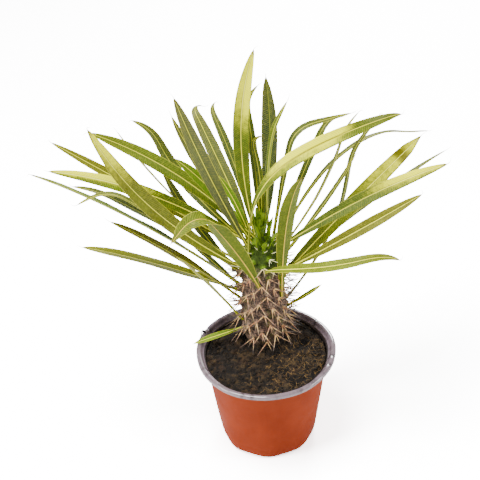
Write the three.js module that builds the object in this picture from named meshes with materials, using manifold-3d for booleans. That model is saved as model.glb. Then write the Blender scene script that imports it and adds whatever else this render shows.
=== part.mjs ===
// A young Madagascar palm (Pachypodium lamerei) in a thin-walled 13 cm nursery pot.
//
// Units are millimetres and +Z is up. The origin is the centre of the pot's flat foot, which
// rests on the ground. The spiny trunk stands behind the pot's middle, and its long narrow
// leaves spring from the upper trunk. Each leaf is a solid of its own, as are the trunk with
// its spines, the tuft of new leaves at the top, the soil and the pot.

import * as THREE from 'three';
import { mergeVertices } from 'three/addons/utils/BufferGeometryUtils.js';
import Module from 'manifold-3d';

const wasm = await Module();
wasm.setup();

// ---------------------------------------------------------------- driving dimensions

const rimRadius = 65;
const lipWidth = 5.4;
const lipHeight = 4;
const potHeight = 100;
const potWall = 1;
const potFloor = 1.4;
const potSides = 40;
const wallLow = 43.9;
const wallLean = 0.143;
const footRadius = 42;
const footLobes = 8;
const footLobeDepth = 0.02;
const footTurn = -94;
const drainHoleRadius = 3;
const drainHoleCircle = 33;

const soilEdgeLevel = 93;
const soilMound = 4;
const soilMoundSpread = 26;
const gap = 0.3;

const trunkSetBack = 27;
const trunkFoot = 97;
const trunkRootDepth = 25;
const trunkTop = 213;
const trunkBulge = 21.9;
const trunkTaper = 0.35;
const crownStart = 190;
const trunkSides = 28;
const trunkLevels = [73, 78, 86, 97, 102, 108, 114, 120, 127, 134, 141, 148, 155, 162, 169, 176, 183,
  190, 196, 202, 207, 210.5, 212.5];

const tubercleCount = 104;
const tubercleHeight = 1.4;
const tubercleSpread = 3;
const goldenAngle = 137.508;
const spineLength = 18;
const spineThickness = 0.75;
const spineRoot = 2.5;

const bladeThickness = 1;
const bladeEdge = 0.7;
const bladeVee = 14;
const petioleWidth = 3.2;
const leafSpans = 11;
const sideLeafSpans = 6;
const newLeafSpans = 4;
const walkSteps = 4;

// Every leaf by hand: where it leaves the trunk (height, azimuth), the way it heads, how steeply
// it rises, and how it bends. Angles are in degrees; azimuths turn from +X towards +Y.
//   droop   how far the rise has fallen at the tip, growing along the leaf
//   sweep   how far the heading has turned at the tip, growing along the leaf
//   fold    a sharper fall of the rise around foldAt, a fraction of the length
//   turn    a sharper turn of the heading at the same place
//   roll    turn of the blade about its own midrib
const leafRows = [
  { height: 157, azimuth: 181, heading: 184, rise: 45, length: 226, width: 13, droop: 15, roll: -18 },
  { height: 205, azimuth: 176, heading: 181, rise: 39, length: 192, width: 12, droop: 28, roll: 55 },
  { height: 178, azimuth: 190, heading: 207, rise: 46, length: 236, width: 16, droop: -25, roll: 62 },
  { height: 211, azimuth: 187, heading: 186, rise: 54, length: 186, width: 13, droop: 26, roll: 60 },
  { height: 195, azimuth: 169, heading: 177, rise: 37, length: 200, width: 9.5, droop: 1, roll: 45 },
  { height: 170, azimuth: 176, rise: 40, length: 176, width: 11, droop: 10, fold: 18 },
  { height: 182, azimuth: 180, heading: 189, rise: 41, length: 178, width: 9,
    droop: -2, fold: 67, foldAt: 0.84 },
  { height: 142, azimuth: 184, rise: 46, length: 150, width: 13, droop: 10 },
  { height: 147, azimuth: 172, heading: 174, rise: 23, length: 152, width: 13, droop: 11 },
  { height: 122, azimuth: 200, rise: 60, length: 110, width: 12, droop: 6, roll: -10 },
  { height: 167, azimuth: 260, heading: 238, rise: 63, length: 165, width: 18, droop: 5,
    sweep: -53, fold: 110, foldAt: 0.8, roll: -40 },
  { height: 200, azimuth: 150, heading: 178, rise: 48, length: 164, width: 10, droop: -31,
    fold: 54, foldAt: 0.9, roll: 55 },
  { height: 208, azimuth: 203, heading: 196, rise: 66, length: 123, width: 10.5, droop: 18, roll: 70 },
  { height: 206, azimuth: 138, heading: 164, rise: 55, length: 137, width: 7, droop: -15, roll: 50 },
  { height: 203, azimuth: 210, heading: 213, rise: 68, length: 192, width: 12, droop: -6, roll: 100 },
  { height: 203, azimuth: 121, heading: 137, rise: 61, length: 138, width: 11, droop: 3,
    fold: 115, turn: -160, foldAt: 0.95, roll: 30 },
  { height: 208, azimuth: 112, heading: 120, rise: 63, length: 130, width: 8, droop: 26,
    fold: 46, turn: -69, foldAt: 0.93, roll: 20 },
  { height: 211, azimuth: 140, heading: 170, rise: 81, length: 190, width: 14, droop: -27, roll: 80 },
  { height: 202, azimuth: 88, heading: 12, rise: 91, length: 160, width: 7.5, droop: -7,
    fold: 64, foldAt: 0.92, roll: -75 },
  { height: 199, azimuth: 78, heading: 55, rise: 76, length: 163, width: 15, droop: -24, roll: -10 },
  { height: 207, azimuth: 43, heading: 22, rise: 92, length: 137, width: 8, droop: 21,
    fold: 23, turn: 16, foldAt: 0.83 },
  { height: 209, azimuth: 82, heading: 10, rise: 87, length: 108, width: 6, droop: -17,
    fold: 175, foldAt: 0.96, roll: -75 },
  { height: 203, azimuth: 30, heading: 17, rise: 80, length: 163, width: 7.5, droop: 4,
    fold: 74, foldAt: 0.68, roll: -30 },
  { height: 197, azimuth: 221, heading: 301, rise: 85, length: 250, width: 14,
    droop: 115, sweep: 119, roll: -55 },
  { height: 193, azimuth: 40, heading: 43, rise: 57, length: 140, width: 8, droop: 6,
    fold: 75, foldAt: 0.87, roll: -30 },
  { height: 190, azimuth: 12, heading: 18, rise: 50, length: 152, width: 8,
    droop: -34, fold: 37, roll: 10 },
  { height: 124.5, azimuth: 30, heading: 0, rise: 54, length: 214, width: 8.5, droop: -47,
    sweep: 48, fold: 70, foldAt: 0.82 },
  { height: 184, azimuth: 2, heading: 4, rise: 53, length: 126, width: 6, droop: -11, roll: -30 },
  { height: 198, azimuth: 358, heading: 394, rise: 59, length: 214, width: 9,
    droop: 119, fold: -36, roll: 10 },
  { height: 162, azimuth: 10, heading: 3, rise: 50, length: 187, width: 12, droop: 3, roll: -60 },
  { height: 199, azimuth: 345, heading: 348, rise: 41, length: 180, width: 12.5, droop: 15, roll: -60 },
  { height: 157, azimuth: 30, heading: 37, rise: 17, length: 220, width: 8.5, droop: 14, roll: 10 },
  { height: 173, azimuth: 346, heading: 342, rise: 39, length: 163, width: 11, droop: -3, roll: -60 },
  { height: 183, azimuth: 280, rise: 41, length: 180, width: 10, droop: 39,
    sweep: 115, fold: 41, roll: -30 },
  { height: 148, azimuth: 324, heading: 285, rise: 83, length: 188, width: 15, droop: 33 },
  { height: 129, azimuth: 358, heading: 349, rise: 36, length: 43, width: 8, droop: -11, roll: -20 },
  { height: 109, azimuth: 195, rise: -6, length: 48, width: 9, droop: 3, roll: 30 },
  { height: 208, azimuth: 165, heading: 170, rise: 75, length: 72, width: 7, droop: 16, roll: 60 },
  { height: 196, azimuth: 120, heading: 130, rise: 62, length: 90, width: 11, roll: 20 },
  { height: 180, azimuth: 150, heading: 153, rise: 33, length: 165, width: 8, droop: -22, roll: -40 },
  { height: 150, azimuth: 168, heading: 165, rise: 45, length: 68, width: 9 },
  { height: 158, azimuth: 155, heading: 169, rise: 52, length: 137, width: 10, droop: -20, roll: 30 },
];

// Short new leaves around the bud, on the front of the trunk's domed top.
const sideLeafRows = [
  { height: 208, azimuth: 275, heading: 205, rise: 74, length: 27, width: 5, roll: 60 },
  { height: 209, azimuth: 308, heading: 340, rise: 80, length: 30, width: 5, droop: 6, roll: -50 },
  { height: 206, azimuth: 250, heading: 262, rise: 71, length: 20, width: 6, droop: 6 },
  { height: 205, azimuth: 308, heading: 325, rise: 68, length: 24, width: 6, droop: 8, roll: -30 },
  { height: 204, azimuth: 280, heading: 282, rise: 62, length: 18, width: 6 },
];

// The tuft of new leaves, all from one small bud on the trunk's top.
const newLeafRows = [
  { heading: 208, rise: 68, length: 22, width: 5.5 },
  { heading: 245, rise: 82, length: 31, width: 6 },
  { heading: 265, rise: 70, length: 24, width: 5 },
  { heading: 290, rise: 76, length: 27, width: 5.5 },
  { heading: 318, rise: 72, length: 22, width: 5 },
  { heading: 345, rise: 78, length: 26, width: 5 },
  { heading: 180, rise: 82, length: 21, width: 5 },
  { heading: 95, rise: 86, length: 19, width: 5 },
];
const budRadius = 3.2;
const budHeight = 5;

// ---------------------------------------------------------------- colours

const leafGreen = new THREE.MeshStandardMaterial({ color: 0x7f8a2c, roughness: 0.45, metalness: 0 });
const newLeafGreen = new THREE.MeshStandardMaterial({ color: 0x6f9a12, roughness: 0.45, metalness: 0 });
const barkBrown = new THREE.MeshStandardMaterial({ color: 0x8f7a66, roughness: 0.9, metalness: 0 });
const soilBrown = new THREE.MeshStandardMaterial({ color: 0x3a2c22, roughness: 1, metalness: 0 });
const terracotta = new THREE.MeshStandardMaterial({ color: 0xae4b2d, roughness: 0.42, metalness: 0 });

// ---------------------------------------------------------------- small helpers

const radians = THREE.MathUtils.degToRad;
const smooth = THREE.MathUtils.smoothstep;

// The unit vector of a heading and a rise, both in radians.
function direction(way, lift) {
  const level = Math.cos(lift);
  return new THREE.Vector3(level * Math.cos(way), level * Math.sin(way), Math.sin(lift));
}

// A solid from points and triangles. Triangles that have shrunk to a line are left out, and all
// are turned round where they would face inwards.
function solidFrom(positions, index) {
  const kept = [];
  let volume = 0;
  const at = (i) => new THREE.Vector3().fromArray(positions, 3 * i);
  for (let i = 0; i < index.length; i += 3) {
    const [a, b, c] = [index[i], index[i + 1], index[i + 2]];
    if (a === b || b === c || c === a) continue;
    kept.push(a, b, c);
    volume += at(a).dot(at(b).cross(at(c)));
  }
  if (volume < 0) kept.reverse();
  return new wasm.Manifold(new wasm.Mesh({
    numProp: 3,
    vertProperties: new Float32Array(positions),
    triVerts: new Uint32Array(kept),
  }));
}

// A solid of a closed geometry, with its shared points merged.
function solidOf(geometry) {
  const bare = geometry.clone();
  bare.deleteAttribute('normal');
  bare.deleteAttribute('uv');
  const merged = mergeVertices(bare, 1e-4);
  return solidFrom(merged.attributes.position.array, merged.index.array);
}

// The geometry of a solid.
function geometryOf(solid) {
  const mesh = solid.getMesh();
  const geometry = new THREE.BufferGeometry();
  geometry.setAttribute('position', new THREE.BufferAttribute(new Float32Array(mesh.vertProperties), 3));
  geometry.setIndex(new THREE.BufferAttribute(new Uint32Array(mesh.triVerts), 1));
  geometry.computeVertexNormals();
  return geometry;
}

// The largest of the closed skins that a join or a cut has left.
function largest(solid) {
  const pieces = solid.decompose();
  pieces.sort((a, b) => b.volume() - a.volume());
  return pieces[0];
}

// A solid of revolution about Z from a profile of [radius, height] pairs that starts and ends on
// the axis.
function turned(profile, sides) {
  const points = profile.map(([radius, height]) => new THREE.Vector2(radius, height));
  const geometry = new THREE.LatheGeometry(points, sides);
  geometry.rotateX(Math.PI / 2);
  return geometry;
}

// Moves each point of a geometry with a function of its position.
function displaced(geometry, move) {
  const position = geometry.attributes.position;
  const point = new THREE.Vector3();
  for (let i = 0; i < position.count; i += 1) {
    point.fromBufferAttribute(position, i);
    move(point);
    position.setXYZ(i, point.x, point.y, point.z);
  }
  return geometry;
}

// ---------------------------------------------------------------- pot

// Radius of the pot's outer wall: it leaves the foot fast and then leans out evenly.
function wallRadius(z) {
  return wallLow + wallLean * z - 2.4 * Math.exp(-z / 3);
}

// The wall's section: foot, outside, the lip that turns out and down, inside and floor.
function potProfile() {
  const top = potHeight;
  const outside = [4, 10, 34, 60, 94].map((z) => [wallRadius(z), z]);
  const inside = [94, 60, 34, 10, 4].map((z) => [wallRadius(z) - potWall, z]);
  const lip = [
    [rimRadius - lipWidth + 0.4, top - 1.8], [rimRadius - 1.6, top - 1.5],
    [rimRadius - 1.4, top - lipHeight], [rimRadius - 0.3, top - lipHeight - 0.2],
    [rimRadius, top - 1.8], [rimRadius - 0.6, top - 0.4], [rimRadius - 1.8, top],
    [rimRadius - lipWidth + 1, top], [rimRadius - lipWidth, top - 0.7],
  ];
  return [
    [0, 0], [footRadius - 2.4, 0], [footRadius - 0.4, 1], ...outside, ...lip, ...inside,
    [footRadius - 2, potFloor], [0, potFloor],
  ];
}

// The foot is drawn into eight shallow lobes, which fade out a little way up the wall.
function lobed(point) {
  const angle = Math.atan2(point.y, point.x) - radians(footTurn);
  const fade = Math.exp(-point.z / 9) * smooth(Math.hypot(point.x, point.y), 20, 36);
  const scale = 1 + footLobeDepth * fade * Math.cos(footLobes * angle);
  point.x *= scale;
  point.y *= scale;
}

function makePot() {
  let pot = solidOf(displaced(turned(potProfile(), potSides), lobed));
  for (let i = 0; i < footLobes; i += 1) {
    const angle = radians(footTurn + (360 * (i + 0.5)) / footLobes);
    const hole = new THREE.CylinderGeometry(drainHoleRadius, drainHoleRadius, 10, 8);
    hole.rotateX(Math.PI / 2);
    hole.translate(drainHoleCircle * Math.cos(angle), drainHoleCircle * Math.sin(angle), 0);
    pot = pot.subtract(solidOf(hole));
  }
  return pot;
}

// ---------------------------------------------------------------- trunk

// Radius of the trunk without its tubercles: a rounded root, a bulge just above the soil,
// a slow taper and a domed top.
function trunkRadius(z) {
  if (z <= trunkFoot - trunkRootDepth || z >= trunkTop) return 0;
  if (z < trunkFoot) {
    const down = (trunkFoot - z) / trunkRootDepth;
    return 0.8 * trunkBulge * Math.sqrt(1 - down * down);
  }
  const up = (z - trunkFoot) / (trunkTop - trunkFoot);
  const taper = 1 - trunkTaper * up ** 1.6;
  const waist = 1 - 0.2 * Math.exp(-(z - trunkFoot) / 6);
  const crown = Math.max(0, (z - crownStart) / (trunkTop - crownStart));
  return trunkBulge * taper * waist * Math.sqrt(1 - crown * crown);
}

// The tubercles climb the trunk on the golden angle.
const tubercles = Array.from({ length: tubercleCount }, (_, i) => {
  const up = (i + 0.5) / tubercleCount;
  return { up, z: trunkFoot + 5 + 98 * up, azimuth: radians(goldenAngle * i) };
});

// How far the bark stands out at an azimuth and a height: each tubercle is a bell-shaped swelling.
function swelling(azimuth, z) {
  let height = 0;
  for (const knob of tubercles) {
    const turn = Math.atan2(Math.sin(azimuth - knob.azimuth), Math.cos(azimuth - knob.azimuth));
    const across = turn * trunkRadius(knob.z);
    height += Math.exp(-(across * across + (z - knob.z) ** 2) / tubercleSpread ** 2);
  }
  const free = smooth(z, trunkFoot + 2, trunkFoot + 7) * (1 - smooth(z, trunkTop - 12, trunkTop - 4));
  return tubercleHeight * Math.min(height, 1) * free;
}

// The trunk's bare body, or the same body grown by an even amount where another piece keeps
// clear of it.
function trunkBody(grown) {
  const profile = [[0, trunkFoot - trunkRootDepth - grown]];
  for (const z of trunkLevels) profile.push([trunkRadius(z) + grown, z]);
  profile.push([0, trunkTop + grown]);
  const body = displaced(turned(profile, trunkSides), (point) => {
    const radius = Math.hypot(point.x, point.y);
    if (radius < 1) return;
    const scale = 1 + swelling(Math.atan2(point.y, point.x), point.z) / radius;
    point.x *= scale;
    point.y *= scale;
  });
  body.translate(0, trunkSetBack, 0);
  return solidOf(body);
}

// Two long thorns sit on each tubercle and spread sideways, lower down on the trunk also downwards.
function spinesOf(knob) {
  const size = spineLength * (1 - 0.5 * smooth(knob.up, 0.8, 1));
  const splay = 38 + 8 * Math.sin(7 * knob.azimuth);
  const dip = -24 + 26 * knob.up + 8 * Math.sin(5 * knob.azimuth);
  const foot = direction(knob.azimuth, 0);
  foot.multiplyScalar(trunkRadius(knob.z) + 0.6 * tubercleHeight).setZ(knob.z);
  foot.y += trunkSetBack;
  return [splay, -splay].map((side) => {
    return { foot, along: direction(knob.azimuth + radians(side), radians(dip)), reach: size };
  });
}

function spineSolid({ foot, along, reach }) {
  const length = reach + spineRoot;
  const cone = new THREE.ConeGeometry(spineThickness, length, 3);
  cone.translate(0, length / 2 - spineRoot, 0);
  cone.applyQuaternion(new THREE.Quaternion().setFromUnitVectors(new THREE.Vector3(0, 1, 0), along));
  cone.translate(foot.x, foot.y, foot.z);
  return solidOf(cone);
}

// Whether a thorn stands clear of the soil, the pot's rim and every leaf.
function spineIsFree({ foot, along, reach }, leaves) {
  for (let step = 1; step <= reach + 1; step += 1) {
    const point = foot.clone().addScaledVector(along, Math.min(step, reach));
    if (point.z < soilLevel(point.x, point.y) + 1) return false;
    if (point.z < potHeight + 2 && Math.hypot(point.x, point.y) > rimRadius - 10) return false;
    for (const leaf of leaves) {
      for (let i = 0; i + 1 < leaf.length; i += 1) {
        const stalk = new THREE.Line3(leaf[i].centre, leaf[i + 1].centre);
        const near = stalk.closestPointToPoint(point, true, new THREE.Vector3());
        if (near.distanceTo(point) < leaf[i + 1].half + 1.9) return false;
      }
    }
  }
  return true;
}

function makeTrunk(leaves) {
  const spines = tubercles.flatMap(spinesOf).filter((spine) => spineIsFree(spine, leaves));
  return largest(wasm.Manifold.union([trunkBody(0), ...spines.map(spineSolid)]));
}

// ---------------------------------------------------------------- soil

// Height of the soil: nearly level, a little rough, and heaped against the trunk.
function soilLevel(x, y) {
  const far = Math.hypot(x, y - trunkSetBack) / soilMoundSpread;
  const rough = 0.5 * Math.sin(0.21 * x + 1) * Math.cos(0.17 * y) + 0.3 * Math.sin(0.43 * x - 0.31 * y);
  return soilEdgeLevel + soilMound * Math.exp(-far * far) + rough;
}

function makeSoil() {
  const inner = (z) => wallRadius(z) - potWall - gap - 0.2;
  const bottom = potFloor + gap;
  const side = [[0, bottom], [footRadius - 3, bottom]];
  for (const z of [4, 10, 34, 60]) side.push([inner(z), z]);
  const onTop = 1000;
  const rings = [1, 0.93, 0.8, 0.64, 0.46, 0.28].map((part) => [part * inner(91), onTop]);
  const soil = displaced(turned([...side, ...rings, [0, onTop]], potSides), (point) => {
    if (point.z === onTop) point.z = soilLevel(point.x, point.y);
    else lobed(point);
  });
  return solidOf(soil).subtract(trunkBody(gap));
}

// ---------------------------------------------------------------- leaves

// Heading and rise of the midrib at a fraction t of its length: the rise falls by droop * t^1.5
// and by fold around foldAt; the heading turns by sweep * t^1.5 and by turn around foldAt.
function bearings(row, t) {
  const { heading = row.azimuth, rise, droop = 0, sweep = 0, fold = 0, turn = 0, foldAt = 0.88 } = row;
  const bent = smooth(t, foldAt - 0.12, foldAt + 0.12);
  const lift = radians(rise - droop * t ** 1.5 - fold * bent);
  const way = radians(heading + sweep * t ** 1.5 + turn * bent);
  return { lift, way };
}

// Half width of a blade: a narrow stalk, the widest place past the middle and a pointed tip.
function halfWidth(row, t) {
  const along = t ** 1.3;
  const blade = 0.5 * row.width * (4 * along * (1 - along)) ** 0.7;
  return Math.max(blade, t < 0.5 ? petioleWidth / 2 : 0.5);
}

// The fractions of the length that get a station: even steps, closer where the leaf bends.
function stationTimes(row, spans) {
  const { fold = 0, turn = 0, foldAt = 0.88 } = row;
  const extra = Math.min(0.5, Math.hypot(fold, turn) / 250);
  const measure = (t) => t + extra * smooth(t, foldAt - 0.12, foldAt + 0.12);
  const times = [];
  for (let i = 0; i <= spans; i += 1) {
    const wanted = (i / spans) * measure(1);
    let low = 0;
    let high = 1;
    for (let halving = 0; halving < 30; halving += 1) {
      const middle = (low + high) / 2;
      if (measure(middle) < wanted) low = middle;
      else high = middle;
    }
    times.push(high);
  }
  return times;
}

// Stations along a leaf: its centre, the sideways and upwards directions of the blade, its half
// width and its thickness. The midrib is summed up in short steps from the base, and one more
// station lies inside what the leaf grows from.
function leafStations(row, base, inwards, spans) {
  const stations = [];
  const centre = base.clone();
  let before = 0;
  for (const t of stationTimes(row, spans)) {
    for (let j = 0; j < walkSteps; j += 1) {
      const { lift, way } = bearings(row, before + ((t - before) * (j + 0.5)) / walkSteps);
      centre.addScaledVector(direction(way, lift), (row.length * (t - before)) / walkSteps);
    }
    before = t;
    const { lift, way } = bearings(row, t);
    const along = direction(way, lift);
    const up = direction(way, lift + Math.PI / 2).applyAxisAngle(along, -radians(row.roll ?? 0));
    const side = new THREE.Vector3().crossVectors(along, up);
    const stalk = 1 - smooth(t, 0.02, 0.2);
    const thick = row.thickness ?? bladeThickness + 0.9 * stalk;
    const edge = row.thickness ?? bladeEdge + 0.5 * stalk;
    stations.push({ centre: centre.clone(), along, up, side, half: halfWidth(row, t), thick, edge });
  }
  const first = stations[0];
  const root = first.centre.clone().addScaledVector(first.along, -1.5).add(inwards);
  stations.unshift({ ...first, centre: root });
  return stations;
}

// A thin closed blade through the stations. Its section is a shallow V of six points, and both
// faces are split along the same diagonals.
function bladeSolid(stations) {
  const positions = [];
  for (const { centre, up, side, half, thick, edge } of stations) {
    const lift = half * Math.tan(radians(bladeVee));
    const section = [[-1, lift + edge / 2], [0, thick / 2], [1, lift + edge / 2],
      [1, lift - edge / 2], [0, -thick / 2], [-1, lift - edge / 2]];
    for (const [across, high] of section) {
      const point = centre.clone().addScaledVector(side, across * half).addScaledVector(up, high);
      positions.push(point.x, point.y, point.z);
    }
  }
  const index = [];
  const quad = (a, b, c, d) => index.push(a, b, c, a, c, d);
  for (let i = 0; i + 1 < stations.length; i += 1) {
    const p = 6 * i;
    const q = p + 6;
    quad(p, p + 1, q + 1, q);
    quad(p + 2, q + 2, q + 1, p + 1);
    quad(p + 2, p + 3, q + 3, q + 2);
    quad(p + 3, p + 4, q + 4, q + 3);
    quad(p + 5, q + 5, q + 4, p + 4);
    quad(p + 5, p, q, q + 5);
  }
  quad(5, 4, 1, 0);
  quad(4, 3, 2, 1);
  const e = 6 * (stations.length - 1);
  quad(e, e + 1, e + 4, e + 5);
  quad(e + 1, e + 2, e + 3, e + 4);
  return solidFrom(positions, index);
}

// A leaf's stations on the trunk, from its row.
function trunkLeaf(row, spans) {
  const outwards = direction(radians(row.azimuth), 0);
  const base = outwards.clone().multiplyScalar(trunkRadius(row.height) + 0.6);
  base.y += trunkSetBack;
  base.z = row.height;
  return leafStations(row, base, outwards.multiplyScalar(-2), spans);
}

function makeYoungLeaves(clearance) {
  const bud = new THREE.SphereGeometry(1, 8, 6);
  bud.rotateX(Math.PI / 2);
  bud.scale(budRadius, budRadius, budHeight);
  bud.translate(0, trunkSetBack, trunkTop);
  const leaves = newLeafRows.map((row) => {
    const base = new THREE.Vector3(0, trunkSetBack, trunkTop + 1.5);
    base.addScaledVector(direction(radians(row.heading), 0), 1.6);
    const inwards = new THREE.Vector3(0, 0, 0);
    return bladeSolid(leafStations({ ...row, thickness: 1 }, base, inwards, newLeafSpans));
  });
  return largest(wasm.Manifold.union([solidOf(bud), ...leaves]).subtract(clearance));
}

// ---------------------------------------------------------------- the plant in its pot

const plant = new THREE.Group();

function add(name, solid, material) {
  const mesh = new THREE.Mesh(geometryOf(solid), material.clone());
  mesh.name = name;
  plant.add(mesh);
}

const clearance = trunkBody(gap);
const leaves = leafRows.map((row) => trunkLeaf(row, leafSpans));
const sideLeaves = sideLeafRows.map((row) => trunkLeaf(row, sideLeafSpans));

add('pot', makePot(), terracotta);
add('soil', makeSoil(), soilBrown);
add('trunk', makeTrunk([...leaves, ...sideLeaves]), barkBrown);
add('young_leaves', makeYoungLeaves(clearance), newLeafGreen);
leaves.forEach((stations, i) => {
  const name = `leaf_${String(i + 1).padStart(2, '0')}`;
  add(name, largest(bladeSolid(stations).subtract(clearance)), leafGreen);
});
sideLeaves.forEach((stations, i) => {
  add(`side_leaf_${i + 1}`, largest(bladeSolid(stations).subtract(clearance)), newLeafGreen);
});

export default plant;
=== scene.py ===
# A young Madagascar palm in its nursery pot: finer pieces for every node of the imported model.
# Shapes are worked out in millimetres, +Z up, and put into the meshes in metres.
import math

import bpy
import numpy as np
from mathutils import Matrix, Vector


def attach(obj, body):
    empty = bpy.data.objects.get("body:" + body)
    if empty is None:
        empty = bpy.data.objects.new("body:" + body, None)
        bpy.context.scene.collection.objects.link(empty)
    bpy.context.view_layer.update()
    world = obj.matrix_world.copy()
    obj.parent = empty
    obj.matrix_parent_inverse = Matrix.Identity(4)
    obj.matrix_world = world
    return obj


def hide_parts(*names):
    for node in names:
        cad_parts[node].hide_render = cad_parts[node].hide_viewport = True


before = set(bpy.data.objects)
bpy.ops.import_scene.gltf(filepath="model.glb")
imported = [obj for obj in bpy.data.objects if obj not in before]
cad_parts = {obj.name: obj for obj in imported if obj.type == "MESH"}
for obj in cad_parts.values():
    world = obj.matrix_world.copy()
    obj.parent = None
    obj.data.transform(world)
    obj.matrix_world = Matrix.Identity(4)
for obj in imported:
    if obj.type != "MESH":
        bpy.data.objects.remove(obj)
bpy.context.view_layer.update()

millimetre = 0.001


# 0 below low, 1 above high and u^2 (3 - 2 u) between them, u being the share of the way
def smoothStep(low, high, x):
    u = np.clip((x - low) / (high - low), 0, 1)
    return u * u * (3 - 2 * u)


# unit vectors of headings and rises in radians: (cos r cos h, cos r sin h, sin r)
def direction(way, lift):
    return np.stack([np.cos(lift) * np.cos(way), np.cos(lift) * np.sin(way), np.sin(lift)], -1)


# v turned about the unit axis k by angle a: v cos a + (k x v) sin a, for v across k
def turnedAbout(k, v, a):
    return v * np.cos(a) + np.cross(k, v) * np.sin(a)


# sums of a few sines with seeded directions and phases, so it is smooth, repeats nowhere near
# and stays within about -1..1
def ripple(points, size, seed, count=9):
    draw = np.random.default_rng(seed)
    waves = draw.normal(size=(count, points.shape[-1]))
    waves /= np.linalg.norm(waves, axis=1, keepdims=True)
    waves *= draw.uniform(0.6, 1.7, (count, 1)) * 2 * np.pi / size
    phases = draw.uniform(0, 2 * np.pi, count)
    return np.sin(points @ waves.T + phases).sum(-1) / math.sqrt(count) * 0.8


# points at a radius and angle about an upright axis: (r cos a, r sin a + back, z)
def around(radius, angle, z, back=0):
    axes = np.broadcast_arrays(radius * np.cos(angle), radius * np.sin(angle) + back, z)
    return np.stack(axes, -1).reshape(-1, 3)


# two values spread over a grid, as flat arrays: the first runs fastest
def spread(fast, slow):
    return [values.ravel() for values in np.meshgrid(fast, slow)]


# angles evenly round a circle: 2 pi i / count
def turns(count):
    return np.arange(count) * 2 * np.pi / count


# quads between rows of points, each row closed into a ring
def ringQuads(rows, columns):
    low = (np.arange(rows - 1) * columns)[:, None]
    here = np.arange(columns)
    following = (here + 1) % columns
    high = low + columns
    quads = np.stack([low + here, low + following, high + following, high + here], -1)
    return quads.reshape(-1, 4)


# the same with one flat face at either end, which closes the skin
def skinFaces(rows, columns):
    ends = np.arange(columns)[None]
    return [ringQuads(rows, columns), ends[:, ::-1], ends + (rows - 1) * columns]


# a mesh object in metres from points in millimetres and groups of faces
def newObject(name, points, faceGroups):
    mesh = bpy.data.meshes.new(name)
    faces = [face for group in faceGroups for face in group.tolist()]
    mesh.from_pydata((points * millimetre).tolist(), [], faces)
    made = bpy.data.objects.new(name, mesh)
    bpy.context.scene.collection.objects.link(made)
    return made


# one smooth piece of the plant, with numbers at its points for the material
def addPiece(name, points, faceGroups, material, nodes=(), numbers=None):
    piece = newObject(name, points, faceGroups)
    mesh = piece.data
    for key, values in (numbers or {}).items():
        layer = mesh.attributes.new(key, "FLOAT", "POINT")
        layer.data.foreach_set("value", np.broadcast_to(values, len(points)).astype(np.float32))
    mesh.polygons.foreach_set("use_smooth", np.full(len(mesh.polygons), True))
    mesh.update()
    mesh.materials.append(material)
    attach(piece, "root")
    if nodes:
        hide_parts(*nodes)
    return piece


# closed tubes along many paths at once: paths is (count, steps, 3), radii is (count, steps);
# each ring stands across its path, and both ends are closed by one flat face
def tubes(paths, radii, sides, flatten=1.0):
    count, steps, _ = paths.shape
    along = np.gradient(paths, axis=1)
    along /= np.linalg.norm(along, axis=-1, keepdims=True)
    helper = np.where(np.abs(along[:, :1, 2:]) < 0.8, [[[0, 0, 1.0]]], [[[1.0, 0, 0]]])
    side = np.cross(along, helper)
    side /= np.linalg.norm(side, axis=-1, keepdims=True)
    up = np.cross(side, along)
    angle = turns(sides)
    ring = (np.cos(angle)[:, None] * side[:, :, None, :]
            + flatten * np.sin(angle)[:, None] * up[:, :, None, :])
    points = (paths[:, :, None, :] + radii[:, :, None, None] * ring).reshape(-1, 3)
    one = ringQuads(steps, sides)[:, ::-1]
    starts = (np.arange(count) * steps * sides)[:, None, None]
    quads = (one[None] + starts).reshape(-1, 4)
    first = np.arange(sides)[None] + starts[:, 0]
    last = first + (steps - 1) * sides
    return points, [quads, first, last[:, ::-1]]


# several point sets and their faces as one
def joined(parts):
    points, groups, shift = [], [], 0
    for somePoints, someGroups in parts:
        points.append(somePoints)
        groups += [group + shift for group in someGroups]
        shift += len(somePoints)
    return np.concatenate(points), groups


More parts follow.
